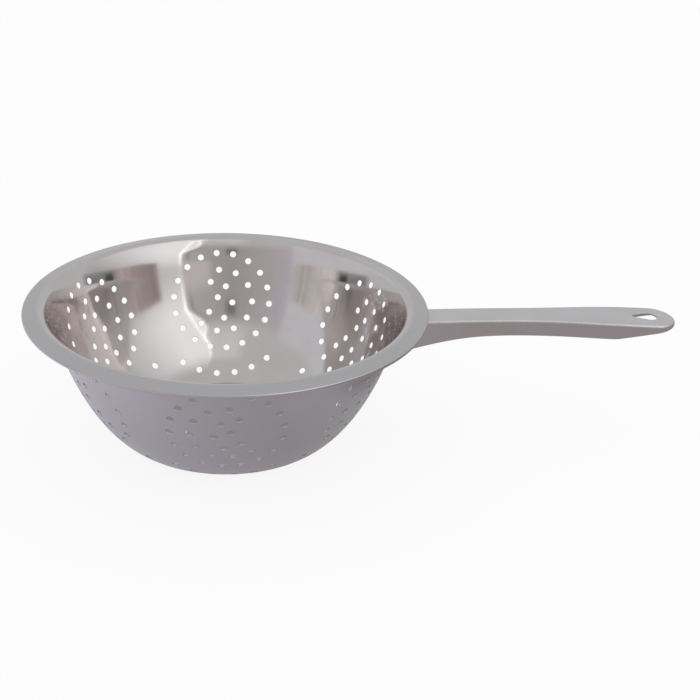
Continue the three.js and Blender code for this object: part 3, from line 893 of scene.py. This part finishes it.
# %% Steel of the handle
HANDLE_STEEL = (0.68, 0.64, 0.65, 1)
HANDLE_STEEL_WARM = (0.66, 0.61, 0.605, 1)
HANDLE_ROUGH = 0.27
BRUSHING_LENGTHWISE = 25
BRUSHING_ACROSS = 2600
HAND_SMEAR_SCALE = 40
HANDLE_RELIEF = 0.00001
handle_steel, place, x, y, z = new_steel("handle_satin_steel")
brushing_place = vector(x * BRUSHING_LENGTHWISE, y * BRUSHING_ACROSS, z * BRUSHING_ACROSS)
brushing = noise(brushing_place, 1.0, 3.0, 0.6)
hand_smears = noise(place, HAND_SMEAR_SCALE, 3.0)
handle_colour = hand_smears.step(0.3, 0.75).mix(HANDLE_STEEL, HANDLE_STEEL_WARM)
handle_rough = HANDLE_ROUGH + 0.10 * brushing + 0.05 * hand_smears
steel(handle_colour, handle_rough, brushing, HANDLE_RELIEF)
handle_piece.data.materials.append(handle_steel)
count_nodes(handle_steel)

# %% [markdown]
# A spot weld is dull, and the heat leaves rings of straw and blue round its middle. The distance from the
# weld's own axis drives those rings. Both welds share one material, because they mirror each other.

# %% Steel of the welds
WELD_ROUGH = 0.38
WELD_RELIEF = 0.00003
RAGGED_RINGS = 0.25
# Colours from the weld's middle to its edge, by the share of its radius
HEAT_RINGS = [
    (0.0, (0.34, 0.33, 0.33)),
    (0.55, (0.44, 0.40, 0.34)),
    (0.8, (0.30, 0.30, 0.38)),
    (1.0, (0.42, 0.40, 0.39)),
]
weld_steel, place, _, y, z = new_steel("weld_heat_marked_steel")
sideways_off = place.math("ABSOLUTE", y) - WELD_OFFSET * MM
upward_off = z - weld_height * MM
from_weld = place.math("SQRT", sideways_off * sideways_off + upward_off * upward_off)
heat = from_weld / (WELD_RADIUS * MM) + RAGGED_RINGS * (noise(place, 900) - 0.5)
weld_colour = place.node("ShaderNodeValToRGB", {"stops": HEAT_RINGS}, {"Fac": heat})
steel(weld_colour, WELD_ROUGH + 0.2 * noise(place, 1500), noise(place, 1800), WELD_RELIEF)
for piece in weld_pieces:
    piece.data.materials.append(weld_steel)
count_nodes(weld_steel)

# %% [markdown]
# The strainer stands on a plain white floor in a white room, and the camera sees both as white. Polished
# steel is drawn by what it mirrors, and in it the same white has darker and brighter places. So rays off
# shiny surfaces see the white too, toned by where they go: painted light and shade that shows only in the
# steel. On the floor, that tone is paler to the left of the bowl, a painted shade to the right and in
# front, and a painted shadow under the handle.

# %% Floor
FLOOR_RADIUS = 4.0
FLOOR_CORNERS = 96
FLOOR_BELOW = 0.05
floor_ring = FLOOR_RADIUS / MM * around(even_turns(FLOOR_CORNERS))
floor_points = np.column_stack([floor_ring, np.full(FLOOR_CORNERS, -FLOOR_BELOW)])
floor_face = np.arange(FLOOR_CORNERS)[None]
floor = add_mesh("floor", floor_points, np.tile([0, 0, 1], (FLOOR_CORNERS, 1)), [floor_face])


# %% White of the floor
def ray_kinds(wire):
    """Wires that are 1 for rays from the camera, off shiny surfaces and through glass."""
    names = ("Is Camera Ray", "Is Glossy Ray", "Is Transmission Ray")
    return [wire.node("ShaderNodeLightPath", output=name) for name in names]


WHITE = (1, 1, 1, 1)
FLOOR_WHITE = (0.9, 0.9, 0.9, 1)
FLOOR_SEEN_WHITE = 0.88
FLOOR_MIRRORED = 0.8
# Tones that the steel mirrors in the floor, as painted light and shade: paler to the left, a painted shade
# to the right, to the side and in front of the bowl, and a painted shadow under the handle.
FLOOR_PAINTED_LIGHT_LEFT = (0.86, 0.85, 0.98, 1)
FLOOR_PAINTED_SHADE_RIGHT = (0.335, 0.312, 0.318, 1)
FLOOR_PAINTED_SHADE_FRONT = (0.36, 0.34, 0.30, 1)
FLOOR_PAINTED_SHADE_SIDE = (0.41, 0.40, 0.42, 1)
FLOOR_PAINTED_HANDLE_SHADOW = (0.225, 0.202, 0.204, 1)
FRONT_SHADE_SHARE = 0.35
floor_white = bpy.data.materials.new("floor_white")
floor_wire = tree_of(floor_white)
floor_x, floor_y, _ = parts_of(floor_wire.node("ShaderNodeTexCoord", output="Object"))
# The mirrored floor gets painted shade towards the right and in front, and a painted shadow under the
# handle. The camera still sees the floor white.
in_front = 1 - floor_y.step(-0.15, -0.08)
painted_floor_light_and_shade = floor_x.step(-0.36, 0.16).mix(FLOOR_PAINTED_LIGHT_LEFT, FLOOR_PAINTED_SHADE_RIGHT)
painted_floor_light_and_shade = (FRONT_SHADE_SHARE * in_front).mix(painted_floor_light_and_shade, FLOOR_PAINTED_SHADE_FRONT)
painted_floor_light_and_shade = floor_x.step(0.03, 0.09).mix(painted_floor_light_and_shade, FLOOR_PAINTED_SHADE_SIDE)
painted_floor_light_and_shade = floor_x.step(0.113, 0.14).mix(painted_floor_light_and_shade, FLOOR_PAINTED_HANDLE_SHADOW)
camera_ray, glossy_ray, passing_ray = ray_kinds(floor_wire)
floor_seen = FLOOR_SEEN_WHITE * (camera_ray + passing_ray) + FLOOR_MIRRORED * glossy_ray
floor_colour = glossy_ray.mix(WHITE, painted_floor_light_and_shade)
matt = floor_wire.node("ShaderNodeBsdfDiffuse", None, {"Color": FLOOR_WHITE})
bright = floor_wire.node("ShaderNodeEmission", None, {"Color": floor_colour, "Strength": 1.0})
floor_shown = floor_wire.node("ShaderNodeMixShader", None, {0: floor_seen, 1: matt, 2: bright})
floor_wire.node("ShaderNodeOutputMaterial", None, {"Surface": floor_shown})
floor.data.materials.append(floor_white)
count_nodes(floor_white)

# %% [markdown]
# In the room, two angles say where a ray goes: the azimuth, from the camera's side to the right, and the
# elevation above the floor. Each place in the room is a mask between two azimuths and two elevations, with
# soft edges, and it gives the white there another tone. These tones are painted reflections, with painted
# highlights and painted shade, seen only in the steel. The room lights the floor with plain white. A
# picture of a studio could light the steel too, but masks say more plainly what shines in it.

# %% Angles in the room
world = bpy.data.worlds.new("white_room")
bpy.context.scene.world = world
room = tree_of(world)
way_x, way_y, way_z = parts_of(room.node("ShaderNodeTexCoord", output="Generated"))
azimuth = room.math("ARCTAN2", way_x, 0 - way_y) / DEGREE
aside = room.math("ABSOLUTE", azimuth)
elevation = room.math("ARCSINE", way_z) / DEGREE


def between(angle, first, last, soft):
    """1 between two angles, 0 outside them, with soft ends."""
    return angle.step(first - soft, first + soft) * (1 - angle.step(last - soft, last + soft))


def above(angle, limit):
    """How far an angle is above a limit, and 0 below it."""
    return room.math("MAXIMUM", angle - limit, 0.0)


def toned(level, value, mask):
    """The level, replaced by another value where the mask is 1."""
    return level + mask * (value - level)


count_nodes(world)

# %% Painted reflection tones of the paper and of the dim front of the room
PAPER = 0.65
LEFT_TONE = 0.73
FRONT_TONE = 0.45
FRONT_RISE = 0.0033
FRONT_MIDDLE = -4
PATCH_GAIN = 0.16
SPOT_LOSS = 0.22
FOOT_TONE = 0.67
left_side = between(azimuth, -142, -47, 3) * between(elevation, 14, 34, 3)
dim_front = between(azimuth, -46, 36, 3) * (1 - elevation.step(27, 34))
pale_patch = between(azimuth, -14, 24, 8) * between(elevation, 34, 57, 6)
dark_spot = between(azimuth, -7, 1, 2) * between(elevation, 22, 28, 2)
light_foot = between(azimuth, 12, 36, 2.5) * (1 - elevation.step(13, 19))
front_tone = FRONT_TONE + FRONT_RISE * room.math("ABSOLUTE", azimuth - FRONT_MIDDLE)
tone = PAPER + (LEFT_TONE - PAPER) * left_side
tone = toned(tone, front_tone, dim_front) + PATCH_GAIN * pale_patch - SPOT_LOSS * dark_spot
tone = toned(tone, FOOT_TONE, light_foot)
count_nodes(world)

# %% Painted reflection of a window, with painted highlight lines along its edge
WINDOW_REFLECTION_TONE = 1.17
WINDOW_FADE = 0.0087
WINDOW_FOOT = 0.62
EDGE_AZIMUTH = 18.5
EDGE_SLANT = 0.7
EDGE_CURL = 0.045
EDGE_SHIFT = 7
OUTER_GAIN = 0.8
INNER_GAIN = 1.0
SHADE_LOSS = 0.2
curl = above(elevation, 48)
slant = room.math("MINIMUM", room.math("MAXIMUM", 43 - elevation, 0.0), 20)
from_edge = azimuth - (EDGE_AZIMUTH + EDGE_SLANT * slant + EDGE_CURL * curl * curl)
from_shifted = from_edge + EDGE_SHIFT * between(elevation, 27, 36, 4)
window_reflection = from_shifted.step(-1.5, 2) * (1 - azimuth.step(95, 108)) * (1 - elevation.step(48, 72))
brightness = WINDOW_REFLECTION_TONE - WINDOW_FADE * above(azimuth, 45)
window_reflection_tone = brightness * (WINDOW_FOOT + (1 - WINDOW_FOOT) * elevation.step(4, 26))
outer_highlight_line = between(from_edge, -0.3, 1.3, 0.7) * between(elevation, 12, 56, 6)
inner_highlight_line = between(from_shifted, -0.6, 1.0, 0.7) * between(elevation, 22, 43, 4)
edge_shade = between(from_shifted, -6, -3.5, 0.7) * between(elevation, 18, 30, 4)
tone = toned(tone, window_reflection_tone, window_reflection)
tone = tone + OUTER_GAIN * outer_highlight_line + INNER_GAIN * inner_highlight_line - SHADE_LOSS * edge_shade
count_nodes(world)

# %% Painted reflection tone of the low band at both sides
HORIZON = 16
HORIZON_FALL = 0.1
FAR_TONE = 0.19
FAR_RISE = 0.012
NEAR_TONE = 0.55
NEAR_RISE = 0.0075
RIGHT_LOSS = 0.24
FOLDS_ROUND = 0.8
FOLDS_UP = 0.02
FOLD_TONE = 0.3
FOLD_RANGE = 1.4
GAP_LOSS = 0.22
right_side = azimuth.step(-10, 10)
near_end = between(aside, 40, 81, 2)
horizon = HORIZON - HORIZON_FALL * above(aside, 60)
low_band = between(aside, 50, 108, 3) * (1 - (elevation - horizon).step(-1.2, 1.2))
near_tone = NEAR_TONE + NEAR_RISE * (aside - 52) - RIGHT_LOSS * right_side
folds = noise(vector(azimuth * FOLDS_ROUND, elevation * FOLDS_UP, 0.0), 1.0, 3.0, 0.65)
far_tone = FAR_TONE + FAR_RISE * elevation
band_tone = toned(far_tone, near_tone, near_end) * (FOLD_TONE + FOLD_RANGE * folds)
dark_gap = between(aside, 84, 90, 1) * between(elevation, 3, 11, 2)
tone = toned(tone, band_tone, low_band) - GAP_LOSS * dark_gap
count_nodes(world)

# %% Room
ROOM_LEVEL = 0.95
COOL = (0.97, 1.015, 1.035, 1)
LAVENDER = (0.96, 0.995, 1.055, 1)
MAUVE = (1.01, 1.0, 1.035, 1)
PINK = (1.01, 0.965, 1.075, 1)
BEIGE = (1.03, 1.005, 0.975, 1)
BROWN = (1.095, 0.965, 0.965, 1)
pink_strip = between(azimuth, -48, -36, 2) * (1 - elevation.step(26, 34))
tint = left_side.mix(COOL, LAVENDER)
tint = (dim_front * (1 - window_reflection)).mix(tint, MAUVE)
tint = pink_strip.mix(tint, PINK)
tint = (low_band * near_end).mix(tint, BEIGE)
tint = (low_band * near_end * right_side).mix(tint, BROWN)
# The tones and tints are painted reflections, with painted highlights and painted shade, and only rays off
# the steel see them. The camera sees the room white, and the room lights the floor with plain white.
toned_tint = room.node("ShaderNodeVectorMath", {"operation": "SCALE"}, {"Vector": tint, "Scale": tone})
camera_ray, glossy_ray, passing_ray = ray_kinds(room)
room_colour = glossy_ray.mix(WHITE, toned_tint)
room_light = room.node("ShaderNodeBackground", None, {"Color": WHITE, "Strength": ROOM_LEVEL})
room_seen = room.node("ShaderNodeBackground", None, {"Color": room_colour, "Strength": 1.0})
room_rays = camera_ray + glossy_ray + passing_ray
room_shown = room.node("ShaderNodeMixShader", None, {0: room_rays, 1: room_light, 2: room_seen})
room.node("ShaderNodeOutputWorld", None, {"Surface": room_shown})
count_nodes(world)

# %% [markdown]
# One soft panel on the camera's right adds a gentle shadow on the floor. The steel already mirrors the
# room, so the panel itself doesn't show in it. Light goes to and fro many times between the polished walls
# of a bowl, and each time counts as a bounce. With Blender's usual few bounces the far sides turn black.

# %% Key lamp and bounces
def panel(name, azimuth, elevation, distance, width, height, radiance):
    """A soft panel lamp that faces the bowl. Its power is its radiance times its area times pi."""
    a, e = azimuth * DEGREE, elevation * DEGREE
    lamp = bpy.data.lights.new(name, "AREA")
    lamp.shape = "RECTANGLE"
    lamp.size = width
    lamp.size_y = height
    lamp.energy = radiance * width * height * np.pi
    made = bpy.data.objects.new(name, lamp)
    place = distance * Vector((np.sin(a) * np.cos(e), -np.cos(a) * np.cos(e), np.sin(e)))
    made.matrix_world = Matrix.Translation(place) @ place.to_track_quat("Z", "Y").to_matrix().to_4x4()
    made.visible_glossy = False
    bpy.context.scene.collection.objects.link(made)
    print("lamp", name, "power, W:", round(lamp.energy, 2))


LIGHT_BOUNCES = 24
panel("key_panel", azimuth=45, elevation=35, distance=1.8, width=0.9, height=1.0, radiance=0.25)
bpy.context.scene.cycles.max_bounces = LIGHT_BOUNCES
bpy.context.scene.cycles.glossy_bounces = LIGHT_BOUNCES
bpy.context.scene.view_settings.view_transform = "Standard"
